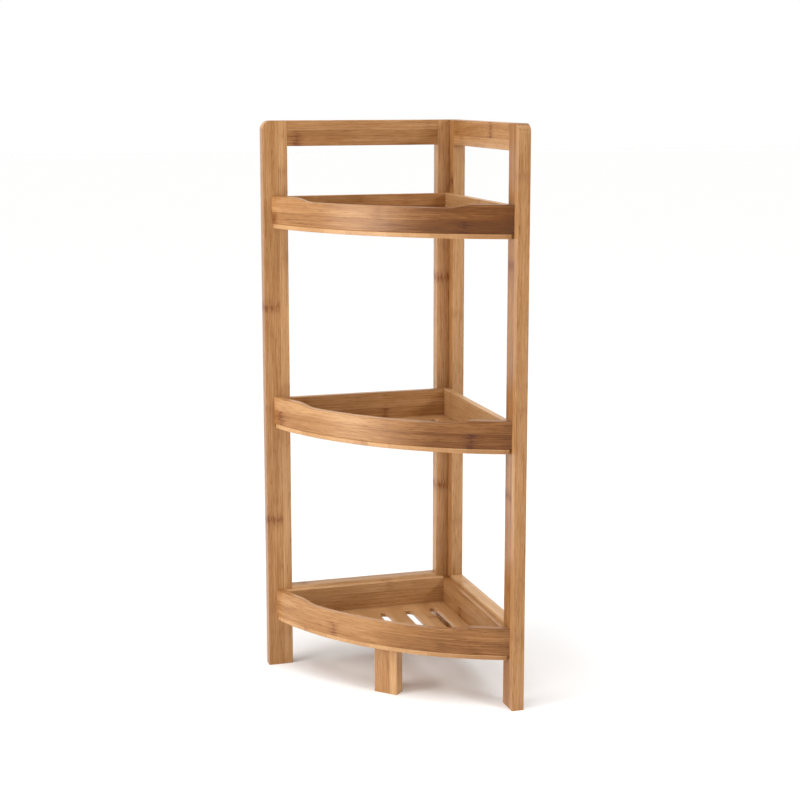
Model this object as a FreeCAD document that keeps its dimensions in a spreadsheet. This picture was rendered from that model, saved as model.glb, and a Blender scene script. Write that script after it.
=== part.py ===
import FreeCAD, Part
import math
import os
from types import SimpleNamespace

import Sketcher
from FreeCAD import Placement, Rotation, Vector

# A shower caddy for a room's corner, of solid bamboo: two flat frames that stand against the two
# walls, three quarter-round trays between them, and a short front leg under the lowest tray.
#
# Every piece is drawn from the corner where the two walls meet. U is the distance from the right
# wall, along the left frame. V is the distance from the back wall, along the right frame. Z is up
# from the floor. A turn of 180 degrees about Z puts the finished stand in the part's own frame,
# whose origin is under the middle of the stand, with +Y towards the back wall.

DIMENSIONS = {
    # the stand as a whole
    "side": 231.0,
    "height": 625.0,
    # the frames' bars
    "bar_width": 28.0,
    "bar_thick": 13.5,
    "top_corner_round": 10.0,
    "edge_ease": 0.6,
    "low_rail_top": 93.0,
    # the trays, and the arc of their fronts, whose centre lies behind both walls
    "tray_base": 54.0,
    "tray_pitch": 226.5,
    "arc_radius": 328.0,
    "arc_back": 90.0,
    "floor_thick": 5.0,
    "floor_corner_round": 2.5,
    "board_thick": 7.5,
    "board_height": 30.5,
    "rail_thick": 8.0,
    # the shallow dip in each front rail's top edge
    "dip_depth": 3.8,
    "dip_low_half": 81.0,
    "dip_high_half": 110.0,
    # the drain slots in each floor
    "slot_width": 10.0,
    "slot_pitch": 30.0,
    "slot_first": 41.5,
    "slot_back": 40.0,
    "slot_margin": 24.0,
    # the front leg, measured along and across the diagonal from the walls' corner
    "leg_front": 189.0,
    "leg_offset": 8.0,
    # the dowels in the frames' butt joints
    "dowel_diameter": 6.0,
    "dowel_length": 24.0,
    "dowel_in_stile": 10.0,
    "dowel_inset": 7.0,
    "dowel_gap": 0.5,
    # the wood screws
    "screw_shank": 3.0,
    "screw_head": 6.0,
    "screw_tip": 2.5,
    "recess_width": 0.8,
    "recess_span": 3.6,
    "recess_depth": 1.2,
    "tray_screw_length": 19.0,
    "tray_screw_rise": 25.0,
    "outer_screw_place": 207.5,
    "left_inner_screw_place": 23.5,
    "right_inner_screw_place": 22.0,
    "corner_screw_length": 25.0,
    "corner_screw_rise": 76.5,
    "floor_screw_length": 16.0,
    "floor_screw_near": 60.0,
    "floor_screw_far": 160.0,
    "rail_screw_turn": 25.0,
    "leg_screw_length": 25.0,
    "leg_screw_spacing": 14.0,
}

TRAYS = ("lower", "middle", "upper")
SLOTS = 5
PLANE_ACROSS = {"u": "YZ_Plane", "v": "XZ_Plane", "z": "XY_Plane"}
ALONG = {"left": "u", "right": "v"}
THROUGH = {"left": "v", "right": "u"}
TINY = 1e-5


class Size:
    """A size held both as a number and as the expression on the sheet that gives it."""

    def __init__(self, value, text=None):
        self.value = value
        self.text = text or str(value)

    def __add__(self, other):
        other = as_size(other)
        return Size(self.value + other.value, f"({self.text} + {other.text})")

    def __sub__(self, other):
        other = as_size(other)
        return Size(self.value - other.value, f"({self.text} - {other.text})")

    def __mul__(self, other):
        other = as_size(other)
        return Size(self.value * other.value, f"({self.text} * {other.text})")

    def __truediv__(self, other):
        other = as_size(other)
        return Size(self.value / other.value, f"({self.text} / {other.text})")

    def __neg__(self):
        return Size(-self.value, f"(0 - {self.text})")


def as_size(number):
    return number if isinstance(number, Size) else Size(number)


def root(size):
    return Size(math.sqrt(size.value), f"sqrt({size.text})")


def cosine(angle):
    """The cosine of an angle in degrees."""
    return Size(math.cos(math.radians(angle.value)), f"cos({angle.text})")


def bind(thing, path, size):
    thing.setExpression(path, size.text)


doc = FreeCAD.newDocument("shower_caddy")
sheet = doc.addObject("Spreadsheet::Sheet", "dims")
for row, (alias, number) in enumerate(DIMENSIONS.items(), 1):
    sheet.set(f"A{row}", alias)
    sheet.set(f"B{row}", str(number))
    sheet.setAlias(f"B{row}", alias)
doc.recompute()

dims = SimpleNamespace(**{alias: Size(sheet.get(alias), f"dims.{alias}") for alias in DIMENSIONS})
ZERO = Size(0.0)
RAIL_BASES = (dims.low_rail_top - dims.bar_width, dims.height - dims.bar_width)
TRAY_BASES = [dims.tray_base + dims.tray_pitch * level for level in range(len(TRAYS))]
INNER_RADIUS = dims.arc_radius - dims.rail_thick
BOARD_FACE = dims.bar_thick + dims.board_thick


def reach(radius, place):
    """How far an arc about the trays' centre lies from one wall, at a place beside the other."""
    return root(radius * radius - (place + dims.arc_back) * (place + dims.arc_back)) - dims.arc_back


# Bodies and sketches

def new_body(label, base, turn=180):
    """A body drawn from the walls' corner, whose own Z starts at the piece's base."""
    body = doc.addObject("PartDesign::Body", label)
    body.Label = label
    corner = Vector(dims.side.value / 2, dims.side.value / 2, base.value)
    body.Placement = Placement(corner, Rotation(Vector(0, 0, 1), turn))
    bind(body, "Placement.Base.x", dims.side / 2)
    bind(body, "Placement.Base.y", dims.side / 2)
    bind(body, "Placement.Base.z", base)
    return body


def new_sketch(body, axis, away=ZERO, name="outline", turn=0):
    """A sketch square to an axis, at a distance from the body's origin."""
    plane = next(item for item in body.Origin.OriginFeatures if item.Role == PLANE_ACROSS[axis])
    sketch = body.newObject("Sketcher::SketchObject", name)
    sketch.AttachmentSupport = (plane, [""])
    sketch.MapMode = "FlatFace"
    offset = -away if axis == "v" else away
    sketch.AttachmentOffset = Placement(Vector(0, 0, offset.value), Rotation(Vector(0, 1, 0), turn))
    bind(sketch, "AttachmentOffset.Base.z", offset)
    return sketch


def constrain(sketch, *terms, size=None):
    """Adds one constraint, and binds its size to the sheet."""
    if size is None:
        sketch.addConstraint(Sketcher.Constraint(*terms))
        return
    row = sketch.addConstraint(Sketcher.Constraint(*terms, size.value))
    bind(sketch, f"Constraints[{row}]", size)


def pin(sketch, geometry, end, across=None, up=None):
    """Holds a point at its distances from the sketch's origin."""
    for kind, line, size in (("DistanceX", -2, across), ("DistanceY", -1, up)):
        if size is None:
            continue
        if size.value == 0:
            constrain(sketch, "PointOnObject", geometry, end, line)
        else:
            constrain(sketch, kind, -1, 1, geometry, end, size=size)


def point(across, up):
    return Vector(across.value, up.value, 0)


def add_line(sketch, start, end):
    return sketch.addGeometry(Part.LineSegment(point(*start), point(*end)), False)


def add_arc(sketch, centre, radius, start, end):
    """An arc that runs anticlockwise from start to end."""
    angles = [math.atan2(place[1].value - centre[1].value, place[0].value - centre[0].value)
              for place in (start, end)]
    if angles[1] < angles[0]:
        angles[1] += 2 * math.pi
    circle = Part.Circle(point(*centre), Vector(0, 0, 1), radius.value)
    return sketch.addGeometry(Part.ArcOfCircle(circle, *angles), False)


def draw_rectangle(sketch, low, high):
    corners = (low, (high[0], low[1]), high, (low[0], high[1]))
    for number in range(4):
        add_line(sketch, corners[number], corners[(number + 1) % 4])
    for number in range(4):
        constrain(sketch, "Coincident", number, 2, (number + 1) % 4, 1)
        constrain(sketch, "Vertical" if number % 2 else "Horizontal", number)
    pin(sketch, 0, 1, *low)
    pin(sketch, 2, 1, *high)


# Solid features

def add_pad(body, sketch, thickness):
    pad = body.newObject("PartDesign::Pad", "pad")
    pad.Profile = sketch
    pad.Length = thickness.value
    bind(pad, "Length", thickness)
    doc.recompute()
    return pad


def lies_in(edge, axis, place):
    """Whether an edge lies wholly in the plane at a place along an axis."""
    box = edge.BoundBox
    low, high = {"u": (box.XMin, box.XMax), "v": (box.YMin, box.YMax), "z": (box.ZMin, box.ZMax)}[axis]
    return abs(low - place.value) < TINY and abs(high - place.value) < TINY


def dress(body, kind, path, size, chosen):
    """Adds a Fillet or a Chamfer to the edges of the body's last shape that pass a test."""
    base = body.Tip
    names = [f"Edge{number}" for number, edge in enumerate(base.Shape.Edges, 1) if chosen(edge)]
    if not names:
        raise RuntimeError(f"{body.Label}: no edge to dress")
    feature = body.newObject(f"PartDesign::{kind}", kind.lower())
    feature.Base = (base, names)
    setattr(feature, path, size.value)
    bind(feature, path, size)
    doc.recompute()


def ease_edges(body, chosen):
    """Rounds the long edges of a straight bar or board."""
    dress(body, "Fillet", "Radius", dims.edge_ease, chosen)


def break_edges(body, chosen):
    """Takes the sharpness off the edges of a curved piece with a small flat."""
    dress(body, "Chamfer", "Size", dims.edge_ease, chosen)


def drill(body, axis, mouth, forward, places, depth, diameter, countersunk=False):
    """Drills round holes along an axis, from the plane of their mouths into the wood."""
    before = body.Shape.Volume
    sketch = new_sketch(body, axis, mouth, "holes")
    for number, place in enumerate(places):
        sketch.addGeometry(Part.Circle(point(*place), Vector(0, 0, 1), diameter.value / 2), False)
        pin(sketch, number, 3, *place)
        constrain(sketch, "Diameter", number, size=diameter)
    pocket = body.newObject("PartDesign::Pocket", "drilled")
    pocket.Profile = sketch
    pocket.Length = depth.value
    bind(pocket, "Length", depth)
    # a pocket cuts against its sketch's normal, which is +U, -V or +Z
    pocket.Reversed = forward != (axis == "v")
    doc.recompute()
    bored = len(places) * math.pi * diameter.value ** 2 / 4 * depth.value
    if abs(before - body.Shape.Volume - bored) > 0.01 * bored:
        raise RuntimeError(f"{body.Label}: the holes along {axis} cut {before - body.Shape.Volume:.1f}")
    if countersunk:
        def is_mouth(edge):
            return (isinstance(edge.Curve, Part.Circle) and lies_in(edge, axis, mouth)
                    and abs(edge.Curve.Radius - diameter.value / 2) < TINY)
        dress(body, "Chamfer", "Size", (dims.screw_head - diameter) / 2, is_mouth)


# The two frames

def frame_bar(side, name, start, end, base, length, sharp_ends):
    """A bar of one frame, with its long edges eased and its butted ends left sharp."""
    body = new_body(f"{side}_{name}", base)
    sketch = new_sketch(body, "z")
    low, high = (start, ZERO), (end, dims.bar_thick)
    if side == "right":
        low, high = low[::-1], high[::-1]
    draw_rectangle(sketch, low, high)
    add_pad(body, sketch, length)
    if name == "outer_stile":
        def is_top_corner(edge):
            return lies_in(edge, ALONG[side], dims.side) and lies_in(edge, "z", dims.height)
        dress(body, "Fillet", "Radius", dims.top_corner_round, is_top_corner)

    def is_eased(edge):
        on_a_face = any(lies_in(edge, THROUGH[side], face) for face in (ZERO, dims.bar_thick))
        return on_a_face and not any(lies_in(edge, axis, place) for axis, place in sharp_ends)
    ease_edges(body, is_eased)
    return body


def dowel_holes(body, side, mouth, forward, deep, rail_bases):
    """Two dowel holes for each rail that meets the bar at one face."""
    heights = [base + inset for base in rail_bases
               for inset in (dims.dowel_inset, dims.bar_width - dims.dowel_inset)]
    places = [(dims.bar_thick / 2, height) for height in heights]
    drill(body, ALONG[side], mouth, forward, places, deep + dims.dowel_gap, dims.dowel_diameter)


def tray_screw_holes(body, side, place):
    """Countersunk holes from the wall side, one for each tray's board."""
    places = [(place, base + dims.tray_screw_rise) for base in TRAY_BASES]
    drill(body, THROUGH[side], ZERO, True, places, dims.bar_thick, dims.screw_shank, countersunk=True)


def corner_screw_places():
    return [(dims.bar_thick / 2, base + dims.corner_screw_rise) for base in TRAY_BASES]


def build_frame(side):
    """Two stiles and two rails. The left frame butts against the right frame's inner face."""
    inner_start = dims.bar_thick if side == "left" else ZERO
    inner_place = dims.left_inner_screw_place if side == "left" else dims.right_inner_screw_place
    outer_start = dims.side - dims.bar_width
    feet = [("z", ZERO)]

    outer = frame_bar(side, "outer_stile", outer_start, dims.side, ZERO, dims.height, feet)
    dowel_holes(outer, side, outer_start, True, dims.dowel_in_stile, RAIL_BASES)
    tray_screw_holes(outer, side, dims.outer_screw_place)

    inner = frame_bar(side, "inner_stile", inner_start, dims.bar_width, ZERO, dims.height, feet)
    dowel_holes(inner, side, dims.bar_width, False, dims.dowel_in_stile, RAIL_BASES)
    tray_screw_holes(inner, side, inner_place)
    if side == "left":
        drill(inner, "u", dims.bar_thick, True, corner_screw_places(),
              dims.corner_screw_length - dims.bar_thick, dims.screw_shank)
    else:
        drill(inner, "u", ZERO, True, corner_screw_places(), dims.bar_thick, dims.screw_shank,
              countersunk=True)

    rail_ends = [(ALONG[side], dims.bar_width), (ALONG[side], outer_start)]
    for name, base in zip(("bottom_rail", "top_rail"), RAIL_BASES):
        rail = frame_bar(side, name, dims.bar_width, outer_start, base, dims.bar_width, rail_ends)
        deep = dims.dowel_length - dims.dowel_in_stile
        dowel_holes(rail, side, dims.bar_width, True, deep, [ZERO])
        dowel_holes(rail, side, outer_start, False, deep, [ZERO])


# The trays

def arc_centre():
    return (-dims.arc_back, -dims.arc_back)


def floor_screw_places():
    """Under the left board, the right board and the front rail, as distances from the walls."""
    board_middle = dims.bar_thick + dims.board_thick / 2
    along = (dims.floor_screw_near, dims.floor_screw_far)
    left = [(place, board_middle) for place in along]
    right = [(board_middle, place) for place in along]
    middle_radius = dims.arc_radius - dims.rail_thick / 2
    front = []
    for step in (-1, 0, 1):
        across = middle_radius * cosine(dims.rail_screw_turn * step + 45) - dims.arc_back
        deep = middle_radius * cosine(-dims.rail_screw_turn * step + 45) - dims.arc_back
        front.append((across, deep))
    return left, right, front


def leg_screw_places():
    """The two screws down into the leg, as distances from the walls."""
    out = dims.leg_front - dims.bar_thick / 2
    places = []
    for step in (-1, 1):
        across = dims.leg_offset + dims.leg_screw_spacing / 2 * step
        places.append(((out - across) * cosine(Size(45)), (out + across) * cosine(Size(45))))
    return places


def build_floor(level, base):
    """The floor panel: a quarter round with its front corners rounded, and five drain slots."""
    body = new_body(f"{TRAYS[level]}_tray_floor", base)
    sketch = new_sketch(body, "z")
    face = dims.bar_thick
    corner, tip = (face, face), reach(dims.arc_radius, face)
    left_end, right_end = (tip, face), (face, tip)
    add_line(sketch, corner, left_end)
    add_arc(sketch, arc_centre(), dims.arc_radius, left_end, right_end)
    add_line(sketch, right_end, corner)
    for joint in ((0, 2, 1, 1), (1, 2, 2, 1), (2, 2, 0, 1)):
        constrain(sketch, "Coincident", *joint)
    constrain(sketch, "Horizontal", 0)
    constrain(sketch, "Vertical", 2)
    pin(sketch, 0, 1, *corner)
    pin(sketch, 1, 3, *arc_centre())
    constrain(sketch, "Radius", 1, size=dims.arc_radius)
    add_pad(body, sketch, dims.floor_thick)

    def is_front_corner(edge):
        return lies_in(edge, "u", tip) or lies_in(edge, "v", tip)
    dress(body, "Fillet", "Radius", dims.floor_corner_round, is_front_corner)

    break_edges(body, lambda edge: isinstance(edge.Curve, Part.Circle))
    cut_slots(body)

    left, right, front = floor_screw_places()
    drill(body, "z", ZERO, True, left + right + front, dims.floor_thick, dims.screw_shank,
          countersunk=True)
    if level == 0:
        drill(body, "z", dims.floor_thick, False, leg_screw_places(), dims.floor_thick,
              dims.screw_shank, countersunk=True)


def cut_slots(body):
    """Round-ended slots parallel to the right frame, whose front ends follow the tray's arc."""
    sketch = new_sketch(body, "z", dims.floor_thick, "slots")
    half = dims.slot_width / 2
    removed = 0
    for number in range(SLOTS):
        middle = dims.slot_first + dims.slot_pitch * number
        back = dims.slot_back + half
        front = reach(dims.arc_radius - dims.slot_margin, middle) - half
        low, high = middle - half, middle + half
        first = add_arc(sketch, (middle, back), half, (low, back), (high, back))
        add_line(sketch, (high, back), (high, front))
        add_arc(sketch, (middle, front), half, (high, front), (low, front))
        add_line(sketch, (low, front), (low, back))
        for step in range(4):
            constrain(sketch, "Tangent", first + step, 2, first + (step + 1) % 4, 1)
        constrain(sketch, "Equal", first, first + 2)
        pin(sketch, first, 3, middle, back)
        pin(sketch, first + 2, 3, middle, front)
        constrain(sketch, "Radius", first, size=half)
        area = dims.slot_width.value * (front.value - back.value) + math.pi * half.value ** 2
        removed += area * dims.floor_thick.value
    before = body.Shape.Volume
    pocket = body.newObject("PartDesign::Pocket", "slotted")
    pocket.Profile = sketch
    pocket.Length = dims.floor_thick.value
    bind(pocket, "Length", dims.floor_thick)
    doc.recompute()
    if abs(before - body.Shape.Volume - removed) > 0.001 * removed:
        raise RuntimeError(f"{body.Label}: the slots cut {before - body.Shape.Volume:.1f}")

    def is_slot_mouth(edge):
        box = edge.BoundBox
        flat = any(lies_in(edge, "z", face) for face in (ZERO, dims.floor_thick))
        inside = min(box.XMin, box.YMin) > BOARD_FACE.value
        front_end = math.hypot(box.XMax + dims.arc_back.value, box.YMax + dims.arc_back.value)
        return flat and inside and front_end < INNER_RADIUS.value
    break_edges(body, is_slot_mouth)


def build_board(side, tray, base):
    """A side board against one frame. The left board butts against the right board's face."""
    body = new_body(f"{tray}_tray_{side}_board", base + dims.floor_thick)
    sketch = new_sketch(body, "z")
    back, face = dims.bar_thick, BOARD_FACE
    start = face if side == "left" else back
    corners = [(start, back), (reach(INNER_RADIUS, back), back), (reach(INNER_RADIUS, face), face),
               (start, face)]
    if side == "right":
        corners = [place[::-1] for place in corners[::-1]]
    joints = []
    for number in range(4):
        here, there = corners[number], corners[(number + 1) % 4]
        if number == 1:
            add_arc(sketch, arc_centre(), INNER_RADIUS, here, there)
        else:
            add_line(sketch, here, there)
        joints.append((number, 2, (number + 1) % 4, 1))
    for joint in joints:
        constrain(sketch, "Coincident", *joint)
    for number in (0, 2, 3):
        level = (number % 2 == 0) == (side == "left")
        constrain(sketch, "Horizontal" if level else "Vertical", number)
    pin(sketch, 0, 1, *corners[0])
    if side == "left":
        pin(sketch, 3, 1, up=face)
    else:
        pin(sketch, 3, 1, across=back)
    pin(sketch, 1, 3, *arc_centre())
    constrain(sketch, "Radius", 1, size=INNER_RADIUS)
    add_pad(body, sketch, dims.board_height)

    def is_top_edge(edge):
        on_a_face = any(lies_in(edge, THROUGH[side], plane) for plane in (back, face))
        return on_a_face and lies_in(edge, "z", dims.board_height)
    ease_edges(body, is_top_edge)

    inner_place = dims.left_inner_screw_place if side == "left" else dims.right_inner_screw_place
    rise = dims.tray_screw_rise - dims.floor_thick
    drill(body, THROUGH[side], back, True, [(inner_place, rise), (dims.outer_screw_place, rise)],
          dims.tray_screw_length - dims.bar_thick, dims.screw_shank)
    left, right, front = floor_screw_places()
    drill(body, "z", ZERO, True, left if side == "left" else right,
          dims.floor_screw_length - dims.floor_thick, dims.screw_shank)


def build_front_rail(tray, base):
    """The curved front rail, which ends flat against both frames and dips in the middle."""
    body = new_body(f"{tray}_tray_front_rail", base + dims.floor_thick)
    sketch = new_sketch(body, "z")
    face = dims.bar_thick
    outer, inner = reach(dims.arc_radius, face), reach(INNER_RADIUS, face)
    add_arc(sketch, arc_centre(), dims.arc_radius, (outer, face), (face, outer))
    add_line(sketch, (face, outer), (face, inner))
    add_arc(sketch, arc_centre(), INNER_RADIUS, (inner, face), (face, inner))
    add_line(sketch, (inner, face), (outer, face))
    for joint in ((0, 2, 1, 1), (1, 2, 2, 2), (2, 1, 3, 1), (3, 2, 0, 1), (0, 3, 2, 3)):
        constrain(sketch, "Coincident", *joint)
    constrain(sketch, "Vertical", 1)
    constrain(sketch, "Horizontal", 3)
    pin(sketch, 1, 1, across=face)
    pin(sketch, 3, 1, up=face)
    pin(sketch, 0, 3, *arc_centre())
    constrain(sketch, "Radius", 0, size=dims.arc_radius)
    constrain(sketch, "Radius", 2, size=INNER_RADIUS)
    add_pad(body, sketch, dims.board_height)
    cut_dip(body)

    def is_long_edge(edge):
        box = edge.BoundBox
        ends = [math.hypot(vertex.X + dims.arc_back.value, vertex.Y + dims.arc_back.value)
                for vertex in edge.Vertexes]
        keeps_radius = abs(ends[0] - ends[1]) < TINY
        top = box.ZMin > (dims.board_height - dims.dip_depth).value - TINY
        low_front = lies_in(edge, "z", ZERO) and ends[0] > INNER_RADIUS.value + TINY
        return keeps_radius and (top or low_front)
    break_edges(body, is_long_edge)

    left, right, front = floor_screw_places()
    drill(body, "z", ZERO, True, front, dims.floor_screw_length - dims.floor_thick, dims.screw_shank)


def cut_dip(body):
    """Lowers the middle of the rail's top edge, with an S of two equal arcs at each side."""
    # the sketch faces along the diagonal, through the walls' corner
    sketch = new_sketch(body, "v", name="dip", turn=-45)
    top, low = dims.board_height, dims.board_height - dims.dip_depth
    run, drop = dims.dip_high_half - dims.dip_low_half, dims.dip_depth
    radius = (run * run + drop * drop) / (drop * 4)
    mid_place, mid_height = dims.dip_low_half + run / 2, low + drop / 2
    over = top + drop
    outline = [(-dims.dip_high_half, over), (-dims.dip_high_half, top), (-mid_place, mid_height),
               (-dims.dip_low_half, low), (dims.dip_low_half, low), (mid_place, mid_height),
               (dims.dip_high_half, top), (dims.dip_high_half, over)]
    left_high, left_low = (-dims.dip_high_half, top - radius), (-dims.dip_low_half, low + radius)
    right_low, right_high = (dims.dip_low_half, low + radius), (dims.dip_high_half, top - radius)

    add_line(sketch, outline[0], outline[1])
    add_arc(sketch, left_high, radius, outline[2], outline[1])
    add_arc(sketch, left_low, radius, outline[2], outline[3])
    add_line(sketch, outline[3], outline[4])
    add_arc(sketch, right_low, radius, outline[4], outline[5])
    add_arc(sketch, right_high, radius, outline[6], outline[5])
    add_line(sketch, outline[6], outline[7])
    add_line(sketch, outline[7], outline[0])
    for joint in ((0, 2, 1, 2), (5, 1, 6, 1), (6, 2, 7, 1), (7, 2, 0, 1)):
        constrain(sketch, "Coincident", *joint)
    for joint in ((1, 1, 2, 1), (2, 2, 3, 1), (3, 2, 4, 1), (4, 2, 5, 2)):
        constrain(sketch, "Tangent", *joint)
    for pair in ((1, 2), (4, 5)):
        constrain(sketch, "Equal", *pair)
    for number in (0, 6):
        constrain(sketch, "Vertical", number)
    for number in (3, 7):
        constrain(sketch, "Horizontal", number)
    pin(sketch, 0, 1, *outline[0])
    pin(sketch, 6, 2, across=dims.dip_high_half)
    pin(sketch, 3, 1, *outline[3])
    pin(sketch, 3, 2, across=dims.dip_low_half)
    # each upper arc is level where it meets the full height
    for number, end, across in ((1, 2, -dims.dip_high_half), (5, 1, dims.dip_high_half)):
        pin(sketch, number, end, up=top)
        pin(sketch, number, 3, across=across)
    before = body.Shape.Volume
    pocket = body.newObject("PartDesign::Pocket", "dipped")
    pocket.Profile = sketch
    pocket.Type = "ThroughAll"
    doc.recompute()
    if body.Shape.Volume > before - dims.dip_depth.value * dims.dip_low_half.value * dims.rail_thick.value:
        raise RuntimeError(f"{body.Label}: the dip cut {before - body.Shape.Volume:.1f}")


def build_leg():
    """The front leg, square to the diagonal, whose own X runs out along the diagonal."""
    body = new_body("front_leg", ZERO, turn=225)
    sketch = new_sketch(body, "z")
    half = dims.bar_width / 2
    draw_rectangle(sketch, (dims.leg_front - dims.bar_thick, dims.leg_offset - half),
                   (dims.leg_front, dims.leg_offset + half))
    add_pad(body, sketch, dims.tray_base)
    ease_edges(body, lambda edge: edge.BoundBox.ZLength > dims.bar_thick.value)
    out = dims.leg_front - dims.bar_thick / 2
    places = [(out, dims.leg_offset + dims.leg_screw_spacing / 2 * step) for step in (-1, 1)]
    drill(body, "z", dims.tray_base, False, places, dims.leg_screw_length - dims.floor_thick,
          dims.screw_shank)


# The dowels and screws, each kind one group of separate solids

def add_group(label, shapes):
    group = doc.addObject("Part::Feature", label)
    group.Label = label
    group.Shape = Part.makeCompound(shapes)
    corner = Vector(dims.side.value / 2, dims.side.value / 2, 0)
    group.Placement = Placement(corner, Rotation(Vector(0, 0, 1), 180))


def put(solid, place, direction):
    """Moves a solid that points down its own Z to a place, pointing in a direction."""
    moved = solid.copy()
    moved.Placement = Placement(place, Rotation(Vector(0, 0, -1), direction))
    return moved


def in_frame(side, along, through, height):
    """A point or direction from its parts along a frame, through it and up."""
    return Vector(along, through, height) if side == "left" else Vector(through, along, height)


def make_screw(length):
    """A countersunk wood screw with a cross recess, from its head's top down."""
    head, shank = dims.screw_head.value / 2, dims.screw_shank.value / 2
    tip = dims.screw_tip.value
    profile = [Vector(0, 0, 0), Vector(head, 0, 0), Vector(shank, 0, shank - head),
               Vector(shank, 0, tip - length), Vector(0, 0, -length), Vector(0, 0, 0)]
    solid = Part.Face(Part.makePolygon(profile)).revolve(Vector(), Vector(0, 0, 1), 360)
    span, width, deep = dims.recess_span.value, dims.recess_width.value, dims.recess_depth.value
    for across, along in ((span, width), (width, span)):
        solid = solid.cut(Part.makeBox(across, along, deep, Vector(-across / 2, -along / 2, -deep)))
    return solid


def build_dowels():
    length, deep = dims.dowel_length.value, dims.dowel_in_stile.value
    dowel = Part.makeCylinder(dims.dowel_diameter.value / 2, length, Vector(0, 0, -length))
    outer_start = dims.side.value - dims.bar_width.value
    shapes = []
    for side in ("left", "right"):
        for base in RAIL_BASES:
            for inset in (dims.dowel_inset, dims.bar_width - dims.dowel_inset):
                height = base.value + inset.value
                for start in (dims.bar_width.value - deep, outer_start - length + deep):
                    place = in_frame(side, start, dims.bar_thick.value / 2, height)
                    shapes.append(put(dowel, place, in_frame(side, 1, 0, 0)))
    add_group("frame_dowels", shapes)


def build_corner_screws():
    screw = make_screw(dims.corner_screw_length.value)
    places = [Vector(0, deep.value, height.value) for deep, height in corner_screw_places()]
    add_group("corner_screws", [put(screw, place, Vector(1, 0, 0)) for place in places])


def build_tray_screws(tray, base):
    """The screws from the wall side into the boards, and those up through the floor."""
    screw = make_screw(dims.tray_screw_length.value)
    height = base.value + dims.tray_screw_rise.value
    shapes = []
    for side, inner_place in (("left", dims.left_inner_screw_place),
                              ("right", dims.right_inner_screw_place)):
        for place in (inner_place, dims.outer_screw_place):
            shapes.append(put(screw, in_frame(side, place.value, 0, height), in_frame(side, 0, 1, 0)))
    add_group(f"{tray}_tray_frame_screws", shapes)

    screw = make_screw(dims.floor_screw_length.value)
    places = [place for row in floor_screw_places() for place in row]
    add_group(f"{tray}_tray_floor_screws",
              [put(screw, Vector(u.value, v.value, base.value), Vector(0, 0, 1)) for u, v in places])


def build_leg_screws():
    screw = make_screw(dims.leg_screw_length.value)
    top = dims.tray_base.value + dims.floor_thick.value
    add_group("leg_screws",
              [put(screw, Vector(u.value, v.value, top), Vector(0, 0, -1)) for u, v in leg_screw_places()])


def export_parts():
    """Checks every object, then writes each sub-part to a file of its own."""
    doc.recompute()
    failed = [item.Label for item in doc.Objects if {"Invalid", "Error"} & set(item.State)]
    pieces = [item for item in doc.Objects if item.TypeId in ("PartDesign::Body", "Part::Feature")]
    broken = [piece.Label for piece in pieces if piece.Shape.isNull() or not piece.Shape.isValid()]
    if failed or broken:
        raise RuntimeError(f"failed objects: {failed}, broken shapes: {broken}")
    os.makedirs("parts", exist_ok=True)
    for piece in pieces:
        piece.Shape.exportStep(f"parts/{piece.Label}.step")
    print(f"{len(pieces)} sub-parts written")


for side in ("left", "right"):
    build_frame(side)
build_dowels()
build_corner_screws()
for level, (tray, base) in enumerate(zip(TRAYS, TRAY_BASES)):
    build_floor(level, base)
    build_board("left", tray, base)
    build_board("right", tray, base)
    build_front_rail(tray, base)
    build_tray_screws(tray, base)
build_leg()
build_leg_screws()
export_parts()
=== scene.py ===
import math

import bpy
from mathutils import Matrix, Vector


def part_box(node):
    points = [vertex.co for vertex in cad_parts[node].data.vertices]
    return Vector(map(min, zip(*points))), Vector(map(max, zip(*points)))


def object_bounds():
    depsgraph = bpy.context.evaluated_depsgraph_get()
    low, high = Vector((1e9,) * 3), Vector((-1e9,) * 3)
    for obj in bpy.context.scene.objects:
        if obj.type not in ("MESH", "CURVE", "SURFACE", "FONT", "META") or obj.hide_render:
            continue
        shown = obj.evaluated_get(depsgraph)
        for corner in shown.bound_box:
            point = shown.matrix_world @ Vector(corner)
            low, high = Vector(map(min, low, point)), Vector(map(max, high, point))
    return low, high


# A corner shower caddy of carbonised bamboo. The frame's pieces keep their shapes, and this script
# gives each one its own bamboo: strips laid along the piece, with their fibres, the dark knuckle
# marks where a cane's joints were, glue lines between the strips and a satin lacquer on top.

MM_PER_METRE = 1000.0
WHITE = (1.0, 1.0, 1.0, 1.0)

# The trays' fronts are arcs about one upright line, this far behind both walls. The radius is
# that of the middle of a front rail's thickness.
ARC_BACK = 0.090
ARC_RADIUS = 0.324

UP = Vector((0, 0, 1))
RIGHT = Vector((1, 0, 0))
BACK = Vector((0, 1, 0))
DIAGONAL_OUT = Vector((-1, -1, 0)).normalized()
DIAGONAL_ACROSS = Vector((1, -1, 0)).normalized()

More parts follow.
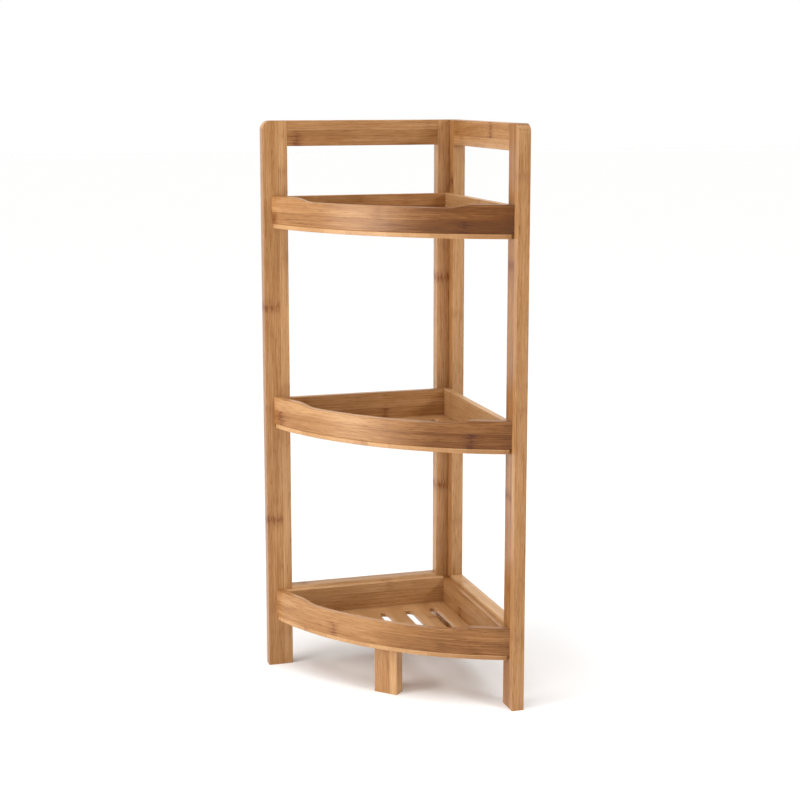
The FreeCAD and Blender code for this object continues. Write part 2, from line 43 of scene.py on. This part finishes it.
# Each piece's bamboo. tone: how light it is at its start, from 0 to 1. drift: how much lighter it
# is at its end, which is painted light and shade along the piece: the front rails darken toward the
# right frame, the right top rail darkens toward the corner and the left top rail lightens toward
# it.
# shift: how far its first glue line lies from its middle, in mm. mark: where its first strip has a
# knuckle, in mm from its middle. A piece's seed is its place in this list.
BAMBOO = {
    "left_outer_stile": dict(tone=0.53, shade_drift=0.00, shift=4.0, mark=12.4),
    "left_inner_stile": dict(tone=0.56, shade_drift=0.00, shift=9.0, mark=40.0),
    "left_top_rail": dict(tone=0.37, shade_drift=0.06, shift=3.0, mark=76.0),
    "left_bottom_rail": dict(tone=0.72, shade_drift=0.00, shift=-4.0, mark=20.0),
    "right_outer_stile": dict(tone=0.37, shade_drift=0.00, shift=13.0, mark=73.3),
    "right_inner_stile": dict(tone=0.50, shade_drift=0.00, shift=5.0, mark=150.0),
    # this rail's drift paints shade, darker toward the corner
    "right_top_rail": dict(tone=0.46, shade_drift=-0.12, shift=-21.0, mark=61.0),
    "right_bottom_rail": dict(tone=0.66, shade_drift=0.00, shift=4.0, mark=60.0),
    # the front rails' drifts paint shade, darker toward the right frame where the left light falls
    # away
    "upper_tray_front_rail": dict(tone=0.33, shade_drift=-0.42, shift=-2.0, mark=5.9),
    "middle_tray_front_rail": dict(tone=0.46, shade_drift=-0.37, shift=1.0, mark=14.9),
    "lower_tray_front_rail": dict(tone=0.40, shade_drift=-0.20, shift=0.0, mark=97.9),
    # the upper tray's left board has a low tone that paints the shade inside its tray
    "upper_tray_left_board": dict(tone=0.32, shade_drift=0.00, shift=2.0, mark=50.0),
    "middle_tray_left_board": dict(tone=0.47, shade_drift=0.00, shift=-3.0, mark=-70.0),
    "lower_tray_left_board": dict(tone=0.62, shade_drift=0.00, shift=4.0, mark=30.0),
    "upper_tray_right_board": dict(tone=0.56, shade_drift=0.00, shift=-2.0, mark=-20.0),
    "middle_tray_right_board": dict(tone=0.66, shade_drift=0.00, shift=3.0, mark=70.0),
    "lower_tray_right_board": dict(tone=0.46, shade_drift=0.00, shift=-4.0, mark=-60.0),
    "upper_tray_floor": dict(tone=0.60, shade_drift=0.00, shift=6.0, mark=40.0),
    "middle_tray_floor": dict(tone=0.60, shade_drift=0.00, shift=6.0, mark=-50.0),
    "lower_tray_floor": dict(tone=0.60, shade_drift=0.00, shift=6.0, mark=80.0),
    "front_leg": dict(tone=0.56, shade_drift=0.00, shift=5.0, mark=-60.0),
    "frame_dowels": dict(tone=0.75, shade_drift=0.00, shift=0.0, mark=0.0),
}

# Sizes in the bamboo, in mm. A glue line starts to fade at its first number from a strip's edge,
# and is gone at its second. Each strip's fibres and knuckles are moved against the next one's. A
# piece's painted light and shade moves it to its end's tone between two places along it, measured
# from its middle.
STRIP_WIDTH = 18.0
PLY_THICKNESS = 4.6
GLUE_LINE = (0.08, 0.35)
KNUCKLE_GAP = 245.0
KNUCKLE_STAGGER = KNUCKLE_GAP * 0.62
KNUCKLE_RAGGEDNESS = 9.0
FIBRE_STAGGER = 900.0
SHADE_DRIFT_RANGE = (-30.0, 85.0)

# The layers of the figure: the size of their grains along, across and through the wood, in mm, and
# the noise's detail.
LAYERS = {
    "fine": ((18.0, 0.7, 0.7), 2.0),
    "fibres": ((60.0, 1.7, 1.7), 3.0),
    "bands": ((190.0, 7.0, 7.0), 2.0),
    "clouds": ((45.0, 14.0, 14.0), 2.0),
    "bundles": ((11.0, 0.9, 0.9), 1.0),
    "strokes": ((9.0, 0.9, 0.9), 1.0),
    "ragged": ((6.0, 2.2, 2.2), 2.0),
}
NOISE_ROUGHNESS = 0.55
# Where a layer's noise turns into dark bundles or strokes of fibre.
BUNDLE_EDGE = (0.58, 0.72)
STROKE_EDGE = (0.42, 0.60)

# The floors are of evener bamboo, whose figure is a share of the other pieces'. Every second strip
# shows its knuckles in full, and the others only faintly.
FLOOR_FIGURE = 0.55
FAINT_KNUCKLES = 0.35

# How far a face has to face along its piece to be end grain, and how much figure that loses.
END_FACING = (0.75, 0.95)
END_LOSS = 0.7

# The wood's colour at each tone. It reaches below 0, so that the darkest rail keeps its figure
# where painted shade takes its tone below 0.
DARKEST_TONE = -0.45
TONES = (
    (DARKEST_TONE, (0.040, 0.010, 0.001, 1.0)),
    (0.0, (0.130, 0.038, 0.003, 1.0)),
    (0.35, (0.315, 0.139, 0.041, 1.0)),
    (0.65, (0.485, 0.266, 0.114, 1.0)),
    (1.0, (0.650, 0.440, 0.248, 1.0)),
)
# What the knuckles, the glue lines and the end grain multiply it by, and how strong the lines are.
KNUCKLE_STAIN = (0.52, 0.33, 0.20, 1.0)
GLUE_STAIN = (0.35, 0.25, 0.18, 1.0)
END_STAIN = (0.66, 0.58, 0.50, 1.0)
GLUE_STRENGTH = 0.4
LACQUER_ROUGHNESS = 0.36

# The screws' steel, from its dull spots to its bright ones.
DULL_STEEL = (0.40, 0.40, 0.39, 1.0)
BRIGHT_STEEL = (0.66, 0.65, 0.61, 1.0)
STEEL_ROUGHNESS = 0.24

FLOOR_HALF_SIZE = 15.0
FLOOR_COLOUR = (0.90, 0.90, 0.90, 1.0)
WARM_GLOSS = (1.0, 0.90, 0.78, 1.0)


class Graph:
    """Adds nodes to a shader tree and links them."""

    def __init__(self, tree):
        self.tree = tree

    def add(self, kind, inputs=(), **settings):
        """Makes a node, with its options, and its inputs set or linked by name or number."""
        node = self.tree.nodes.new(kind)
        for name, value in settings.items():
            setattr(node, name, value)
        for name, value in dict(inputs).items():
            self.feed(node.inputs[name], value)
        return node

    def feed(self, socket, value):
        """Links an input to another node's output, or sets its value."""
        if isinstance(value, bpy.types.NodeSocket):
            self.tree.links.new(value, socket)
        else:
            socket.default_value = value

    def calc(self, operation, *values):
        return self.add("ShaderNodeMath", enumerate(values), operation=operation).outputs[0]

    def vector_calc(self, operation, *values):
        return self.add("ShaderNodeVectorMath", enumerate(values), operation=operation).outputs

    def total(self, *terms):
        """Adds up terms, each a socket times a weight."""
        result = None
        for socket, weight in terms:
            part = self.calc("MULTIPLY", socket, weight)
            result = part if result is None else self.calc("ADD", result, part)
        return result

    def centred(self, socket):
        """A value from 0 to 1, less a half."""
        return self.calc("SUBTRACT", socket, 0.5)

    def step(self, value, low, high):
        """A smooth step from 0 at low to 1 at high."""
        inputs = {"Value": value, "From Min": low, "From Max": high}
        return self.add("ShaderNodeMapRange", inputs, interpolation_type="SMOOTHSTEP").outputs[0]

    def bell(self, distance, width):
        """A bell curve that is 1 at distance 0."""
        ratio = self.calc("DIVIDE", distance, width)
        square = self.calc("MULTIPLY", ratio, ratio)
        return self.calc("EXPONENT", self.calc("MULTIPLY", square, -1.0))

    def vector(self, x, y, z):
        return self.add("ShaderNodeCombineXYZ", {"X": x, "Y": y, "Z": z}).outputs[0]

    def noise(self, place, grain, detail):
        """Noise whose grains have the given sizes, in mm, along, across and through the wood."""
        scaled = self.vector_calc("MULTIPLY", place, [1.0 / size for size in grain])[0]
        inputs = {"Vector": scaled, "Scale": 1.0, "Detail": detail, "Roughness": NOISE_ROUGHNESS}
        return self.add("ShaderNodeTexNoise", inputs).outputs["Fac"]

    def blend(self, factor, first, second, mode="MIX"):
        node = self.add("ShaderNodeMix", data_type="RGBA", blend_type=mode)
        for name, value in (("Factor_Float", factor), ("A_Color", first), ("B_Color", second)):
            self.feed(next(item for item in node.inputs if item.identifier == name), value)
        return next(item for item in node.outputs if item.identifier == "Result_Color")


def start_material(name):
    """A new material with an empty shader tree, and what adds nodes to it."""
    material = bpy.data.materials.new(name)
    material.use_nodes = True
    material.node_tree.nodes.clear()
    return material, Graph(material.node_tree)


# Bamboo

def build_bamboo_group():
    """The bamboo's figure, from a place along, across and through a piece in mm."""
    tree = bpy.data.node_groups.new("bamboo_figure", "ShaderNodeTree")
    for name in ("Along", "Across", "Through", "End", "Figure",
                 "Tone", "Shade_drift", "Shift", "Mark", "Seed"):
        tree.interface.new_socket(name, in_out="INPUT", socket_type="NodeSocketFloat")
    for name, kind in (("Color", "NodeSocketColor"), ("Roughness", "NodeSocketFloat"),
                       ("Height", "NodeSocketFloat")):
        tree.interface.new_socket(name, in_out="OUTPUT", socket_type=kind)
    graph = Graph(tree)
    calc = graph.calc
    given = graph.add("NodeGroupInput").outputs
    figure_share = calc("SUBTRACT", 1.0, calc("MULTIPLY", given["End"], END_LOSS))
    figure_share = calc("MULTIPLY", figure_share, given["Figure"])

    # which strip and ply this is, and a random number of its own
    strips = calc("DIVIDE", calc("SUBTRACT", given["Across"], given["Shift"]), STRIP_WIDTH)
    strip = calc("FLOOR", strips)
    odd = calc("ABSOLUTE", calc("MODULO", strip, 2.0))
    ply = calc("FLOOR", calc("ADD", calc("DIVIDE", given["Through"], PLY_THICKNESS), 0.5))
    cell = {"Vector": graph.vector(strip, ply, given["Seed"])}
    chance = graph.add("ShaderNodeTexWhiteNoise", cell, noise_dimensions="3D").outputs["Value"]

    # the fibres, which no strip shares with the next
    start = calc("ADD", given["Along"], calc("MULTIPLY", chance, FIBRE_STAGGER))
    place = graph.vector(start, given["Across"], given["Through"])
    layer = {name: graph.noise(place, grain, detail) for name, (grain, detail) in LAYERS.items()}
    bundles = graph.step(layer["bundles"], *BUNDLE_EDGE)
    strokes = graph.step(layer["strokes"], *STROKE_EDGE)

    # the knuckles: a ragged dark line, with short strokes of dark fibre on both sides and a stain
    # round them, each with its width in mm and its weight
    offset = calc("ADD", given["Mark"], calc("MULTIPLY", strip, KNUCKLE_STAGGER))
    distance = calc("WRAP", calc("SUBTRACT", given["Along"], offset),
                    KNUCKLE_GAP / 2, -KNUCKLE_GAP / 2)
    ragged = graph.total((graph.centred(layer["ragged"]), KNUCKLE_RAGGEDNESS))
    distance = calc("ADD", distance, ragged)
    knuckle = graph.total((graph.bell(distance, 1.0), 0.22),
                          (calc("MULTIPLY", graph.bell(distance, 5.0), strokes), 0.80),
                          (graph.bell(distance, 8.0), 0.30))
    clearness = calc("ADD", FAINT_KNUCKLES, calc("MULTIPLY", odd, 1.0 - FAINT_KNUCKLES))
    clearness = calc("MULTIPLY", figure_share, clearness)
    knuckle = calc("MULTIPLY", calc("MINIMUM", knuckle, 1.0), clearness)

    # the glue line between two strips
    part = calc("FRACT", strips)
    edge = calc("MULTIPLY", calc("MINIMUM", part, calc("SUBTRACT", 1.0, part)), STRIP_WIDTH)
    glue = calc("SUBTRACT", 1.0, graph.step(edge, *GLUE_LINE))

    # the colour: each layer moves the tone by its weight
    variation = graph.total(
        (graph.centred(chance), 0.10),
        (calc("SUBTRACT", 0.5, odd), 0.12),
        (graph.centred(layer["fibres"]), 0.50),
        (graph.centred(layer["bands"]), 0.30),
        (graph.centred(layer["clouds"]), 0.22),
        (graph.centred(layer["fine"]), 0.40),
        (bundles, -0.16))
    # painted light and shade along the piece: its tone moves by its drift between two places along
    # it
    shade_drift = calc("MULTIPLY", graph.step(given["Along"], *SHADE_DRIFT_RANGE), given["Shade_drift"])
    tone = calc("ADD", calc("ADD", given["Tone"], shade_drift), calc("MULTIPLY", variation, figure_share))
    span = 1.0 - DARKEST_TONE
    ramp = graph.add("ShaderNodeValToRGB",
                     {"Fac": calc("DIVIDE", calc("SUBTRACT", tone, DARKEST_TONE), span)})
    elements = ramp.color_ramp.elements
    for level, _ in TONES[1:-1]:
        elements.new((level - DARKEST_TONE) / span)
    for element, (_, colour) in zip(elements, TONES):
        element.color = colour
    colour = graph.blend(knuckle, ramp.outputs["Color"], KNUCKLE_STAIN, "MULTIPLY")
    seam = calc("MULTIPLY", calc("MULTIPLY", glue, GLUE_STRENGTH), figure_share)
    colour = graph.blend(seam, colour, GLUE_STAIN, "MULTIPLY")
    colour = graph.blend(given["End"], colour, END_STAIN, "MULTIPLY")

    # what each layer adds to the lacquer's roughness, and to the surface's height for the bump
    roughness = calc("ADD", LACQUER_ROUGHNESS, graph.total(
        (layer["fibres"], 0.14), (knuckle, 0.08), (given["End"], 0.16)))
    height = graph.total((layer["fine"], 0.35), (layer["fibres"], 0.45), (bundles, -0.25),
                         (glue, -0.7), (knuckle, 0.3))
    graph.add("NodeGroupOutput", {"Color": colour, "Roughness": roughness, "Height": height})
    return tree


def place_along(graph, position, origin, direction):
    """How far a place lies from the origin in one direction, in mm."""
    away = graph.vector_calc("SUBTRACT", position, origin)[0]
    return graph.vector_calc("DOT_PRODUCT", away, direction * MM_PER_METRE)["Value"]


def straight_grain(graph, node, along, across, through):
    """A place along, across and through a straight piece, and how far a face is end grain."""
    low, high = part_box(node)
    middle = (Vector(low) + Vector(high)) / 2
    coordinates = graph.add("ShaderNodeTexCoord").outputs
    places = [place_along(graph, coordinates["Object"], middle, direction)
              for direction in (along, across, through)]
    facing = graph.vector_calc("DOT_PRODUCT", coordinates["Normal"], along)["Value"]
    end = graph.step(graph.calc("ABSOLUTE", facing), *END_FACING)
    return [*places, end]


def curved_grain(graph, node):
    """The same for a front rail, whose strips are bent round the trays' arc and hide their ends."""
    low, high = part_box(node)
    position = graph.add("ShaderNodeTexCoord").outputs["Object"]
    axis = Vector((cad_high[0] + ARC_BACK, cad_high[1] + ARC_BACK, (low[2] + high[2]) / 2))
    to_left = place_along(graph, position, axis, -RIGHT)
    to_front = place_along(graph, position, axis, -BACK)
    radius = graph.calc("SQRT", graph.calc("ADD", graph.calc("MULTIPLY", to_left, to_left),
                                           graph.calc("MULTIPLY", to_front, to_front)))
    angle = graph.calc("SUBTRACT", graph.calc("ARCTAN2", to_front, to_left), math.pi / 4)
    along = graph.calc("MULTIPLY", angle, ARC_RADIUS * MM_PER_METRE)
    across = place_along(graph, position, axis, UP)
    through = graph.calc("SUBTRACT", radius, ARC_RADIUS * MM_PER_METRE)
    return [along, across, through, 0.0]


def find_grain(graph, node):
    """The grain that suits a piece, from its name."""
    if node.endswith("front_rail"):
        return curved_grain(graph, node)
    if node == "front_leg":
        return straight_grain(graph, node, UP, DIAGONAL_ACROSS, DIAGONAL_OUT)
    if node.endswith("floor"):
        return straight_grain(graph, node, BACK, RIGHT, UP)
    beside, through = (RIGHT, BACK) if "left" in node else (BACK, RIGHT)
    if node.endswith("stile"):
        return straight_grain(graph, node, UP, beside, through)
    return straight_grain(graph, node, beside, UP, through)


def bamboo_material(node, figure, seed):
    """Lacquered bamboo that follows one piece's grain."""
    material, graph = start_material(f"bamboo_{node}")
    wood = graph.add("ShaderNodeGroup", node_tree=figure)
    for name, value in zip(("Along", "Across", "Through", "End"), find_grain(graph, node)):
        graph.feed(wood.inputs[name], value)
    for key, value in BAMBOO[node].items():
        wood.inputs[key.capitalize()].default_value = value
    wood.inputs["Seed"].default_value = seed
    wood.inputs["Figure"].default_value = FLOOR_FIGURE if node.endswith("floor") else 1.0
    bump = graph.add("ShaderNodeBump", {"Height": wood.outputs["Height"], "Strength": 0.35,
                                        "Distance": 0.00025})
    shader = graph.add("ShaderNodeBsdfPrincipled", {
        "Base Color": wood.outputs["Color"], "Roughness": wood.outputs["Roughness"],
        "Normal": bump.outputs["Normal"], "IOR": 1.42, "Specular Tint": (1.0, 0.84, 0.68, 1.0),
        "Coat Weight": 0.22, "Coat Roughness": 0.24})
    graph.add("ShaderNodeOutputMaterial", {"Surface": shader.outputs["BSDF"]})
    return material


# Steel, for the screws

def steel_material():
    """Dull steel with faint spots and scratches."""
    material, graph = start_material("screw_steel")
    position = graph.add("ShaderNodeTexCoord").outputs["Object"]
    place = graph.vector_calc("MULTIPLY", position, [MM_PER_METRE] * 3)[0]
    spots = graph.noise(place, (1.6, 1.6, 1.6), 4.0)
    scratches = graph.noise(place, (0.25, 3.0, 3.0), 2.0)
    ramp = graph.add("ShaderNodeValToRGB", {"Fac": spots})
    for element, colour in zip(ramp.color_ramp.elements, (DULL_STEEL, BRIGHT_STEEL)):
        element.color = colour
    roughness = graph.calc("ADD", STEEL_ROUGHNESS, graph.total((spots, 0.18), (scratches, 0.12)))
    bump = graph.add("ShaderNodeBump", {"Height": scratches, "Strength": 0.2, "Distance": 0.0001})
    shader = graph.add("ShaderNodeBsdfPrincipled", {
        "Base Color": ramp.outputs["Color"], "Roughness": roughness,
        "Normal": bump.outputs["Normal"], "Metallic": 1.0})
    graph.add("ShaderNodeOutputMaterial", {"Surface": shader.outputs["BSDF"]})
    return material


def dress(node, material):
    """Gives a piece of the frame its material."""
    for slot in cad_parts[node].material_slots:
        slot.material = material


# The studio

def build_floor():
    """A plain pale floor, wide enough to meet the white background."""
    half = FLOOR_HALF_SIZE
    corners = [(-half, -half, 0), (half, -half, 0), (half, half, 0), (-half, half, 0)]
    mesh = bpy.data.meshes.new("studio_floor")
    mesh.from_pydata(corners, [], [(0, 1, 2, 3)])
    floor = bpy.data.objects.new("studio_floor", mesh)
    bpy.context.collection.objects.link(floor)
    material = bpy.data.materials.new("studio_floor")
    material.use_nodes = True
    shader = material.node_tree.nodes["Principled BSDF"]
    shader.inputs["Base Color"].default_value = FLOOR_COLOUR
    shader.inputs["Roughness"].default_value = 0.9
    shader.inputs["Specular IOR Level"].default_value = 0.1
    mesh.materials.append(material)


def build_sky(ambient):
    """A white background that lights the object less than it shows. Its gloss is warm, and comes
    mostly from the back."""
    world = bpy.data.worlds.new("studio")
    bpy.context.scene.world = world
    world.use_nodes = True
    world.node_tree.nodes.clear()
    graph = Graph(world.node_tree)
    path = graph.add("ShaderNodeLightPath").outputs
    direction = graph.add("ShaderNodeTexCoord").outputs["Generated"]
    back = graph.add("ShaderNodeSeparateXYZ", {"Vector": direction}).outputs["Y"]
    sheen = graph.add("ShaderNodeMapRange", {"Value": back, "From Min": -0.2, "From Max": 0.7,
                                             "To Min": 0.25, "To Max": 1.3}).outputs[0]
    unseen = graph.add("ShaderNodeMix", {"Factor": path["Is Glossy Ray"], "A": ambient,
                                         "B": sheen}).outputs[0]
    strength = graph.add("ShaderNodeMix", {"Factor": path["Is Camera Ray"], "A": unseen,
                                           "B": 1.0}).outputs[0]
    colour = graph.blend(path["Is Glossy Ray"], WHITE, WARM_GLOSS)
    background = graph.add("ShaderNodeBackground", {"Color": colour, "Strength": strength})
    graph.add("ShaderNodeOutputWorld", {"Surface": background.outputs[0]})


def add_light(data, direction, place=(0, 0, 0)):
    """Puts a light somewhere, shining in a direction."""
    light = bpy.data.objects.new(data.name, data)
    light.location = place
    light.rotation_mode = "QUATERNION"
    light.rotation_quaternion = direction.to_track_quat("-Z", "Y")
    bpy.context.collection.objects.link(light)


def add_sun(name, direction, strength, softness):
    """A soft, even light from far away. Its softness is an angle in degrees."""
    data = bpy.data.lights.new(name, "SUN")
    data.energy = strength
    data.angle = math.radians(softness)
    add_light(data, Vector(direction))


def add_softbox(name, place, target, size, watts):
    """A rectangular area light that faces a target."""
    data = bpy.data.lights.new(name, "AREA")
    data.shape = "RECTANGLE"
    data.size, data.size_y = size
    data.energy = watts
    add_light(data, Vector(target) - Vector(place), place)


def build_lights():
    middle = (Vector(cad_low) + Vector(cad_high)) / 2
    build_sky(ambient=0.34)
    add_sun("top_light", direction=(0.10, 0.20, -1.0), strength=2.5, softness=60.0)
    add_softbox("left_light", (-1.28, -0.27, 0.45), middle, size=(0.70, 1.4), watts=18.5)
    add_softbox("front_light", (1.05, -1.45, 1.05), middle, size=(0.4, 0.4), watts=10.0)


def build_camera():
    """The camera stands left of the middle and looks down a little, with a small shift."""
    data = bpy.data.cameras.new("camera")
    data.lens = 74.07
    data.sensor_width = 36.0
    data.shift_y = -0.035
    data.clip_start = 0.05
    camera = bpy.data.objects.new("camera", data)
    camera.location = (-0.5054, -1.6878, 0.6613)
    looking_down, turned_right = 9.82, 17.03
    camera.rotation_euler = (math.radians(90.0 - looking_down), 0.0, math.radians(-turned_right))
    bpy.context.collection.objects.link(camera)
    bpy.context.scene.camera = camera


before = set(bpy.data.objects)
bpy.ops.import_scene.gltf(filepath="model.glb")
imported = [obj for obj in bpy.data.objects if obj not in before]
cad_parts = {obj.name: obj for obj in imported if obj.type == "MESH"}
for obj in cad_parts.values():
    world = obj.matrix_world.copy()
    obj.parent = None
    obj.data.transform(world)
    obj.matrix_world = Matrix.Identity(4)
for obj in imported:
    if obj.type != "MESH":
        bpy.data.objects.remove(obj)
cad_low, cad_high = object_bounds()

figure = build_bamboo_group()
for seed, node in enumerate(BAMBOO):
    dress(node, bamboo_material(node, figure, float(seed)))
steel = steel_material()
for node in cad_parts:
    if node.endswith("screws"):
        dress(node, steel)

build_floor()
build_lights()
build_camera()
bpy.context.scene.view_settings.view_transform = "Standard"
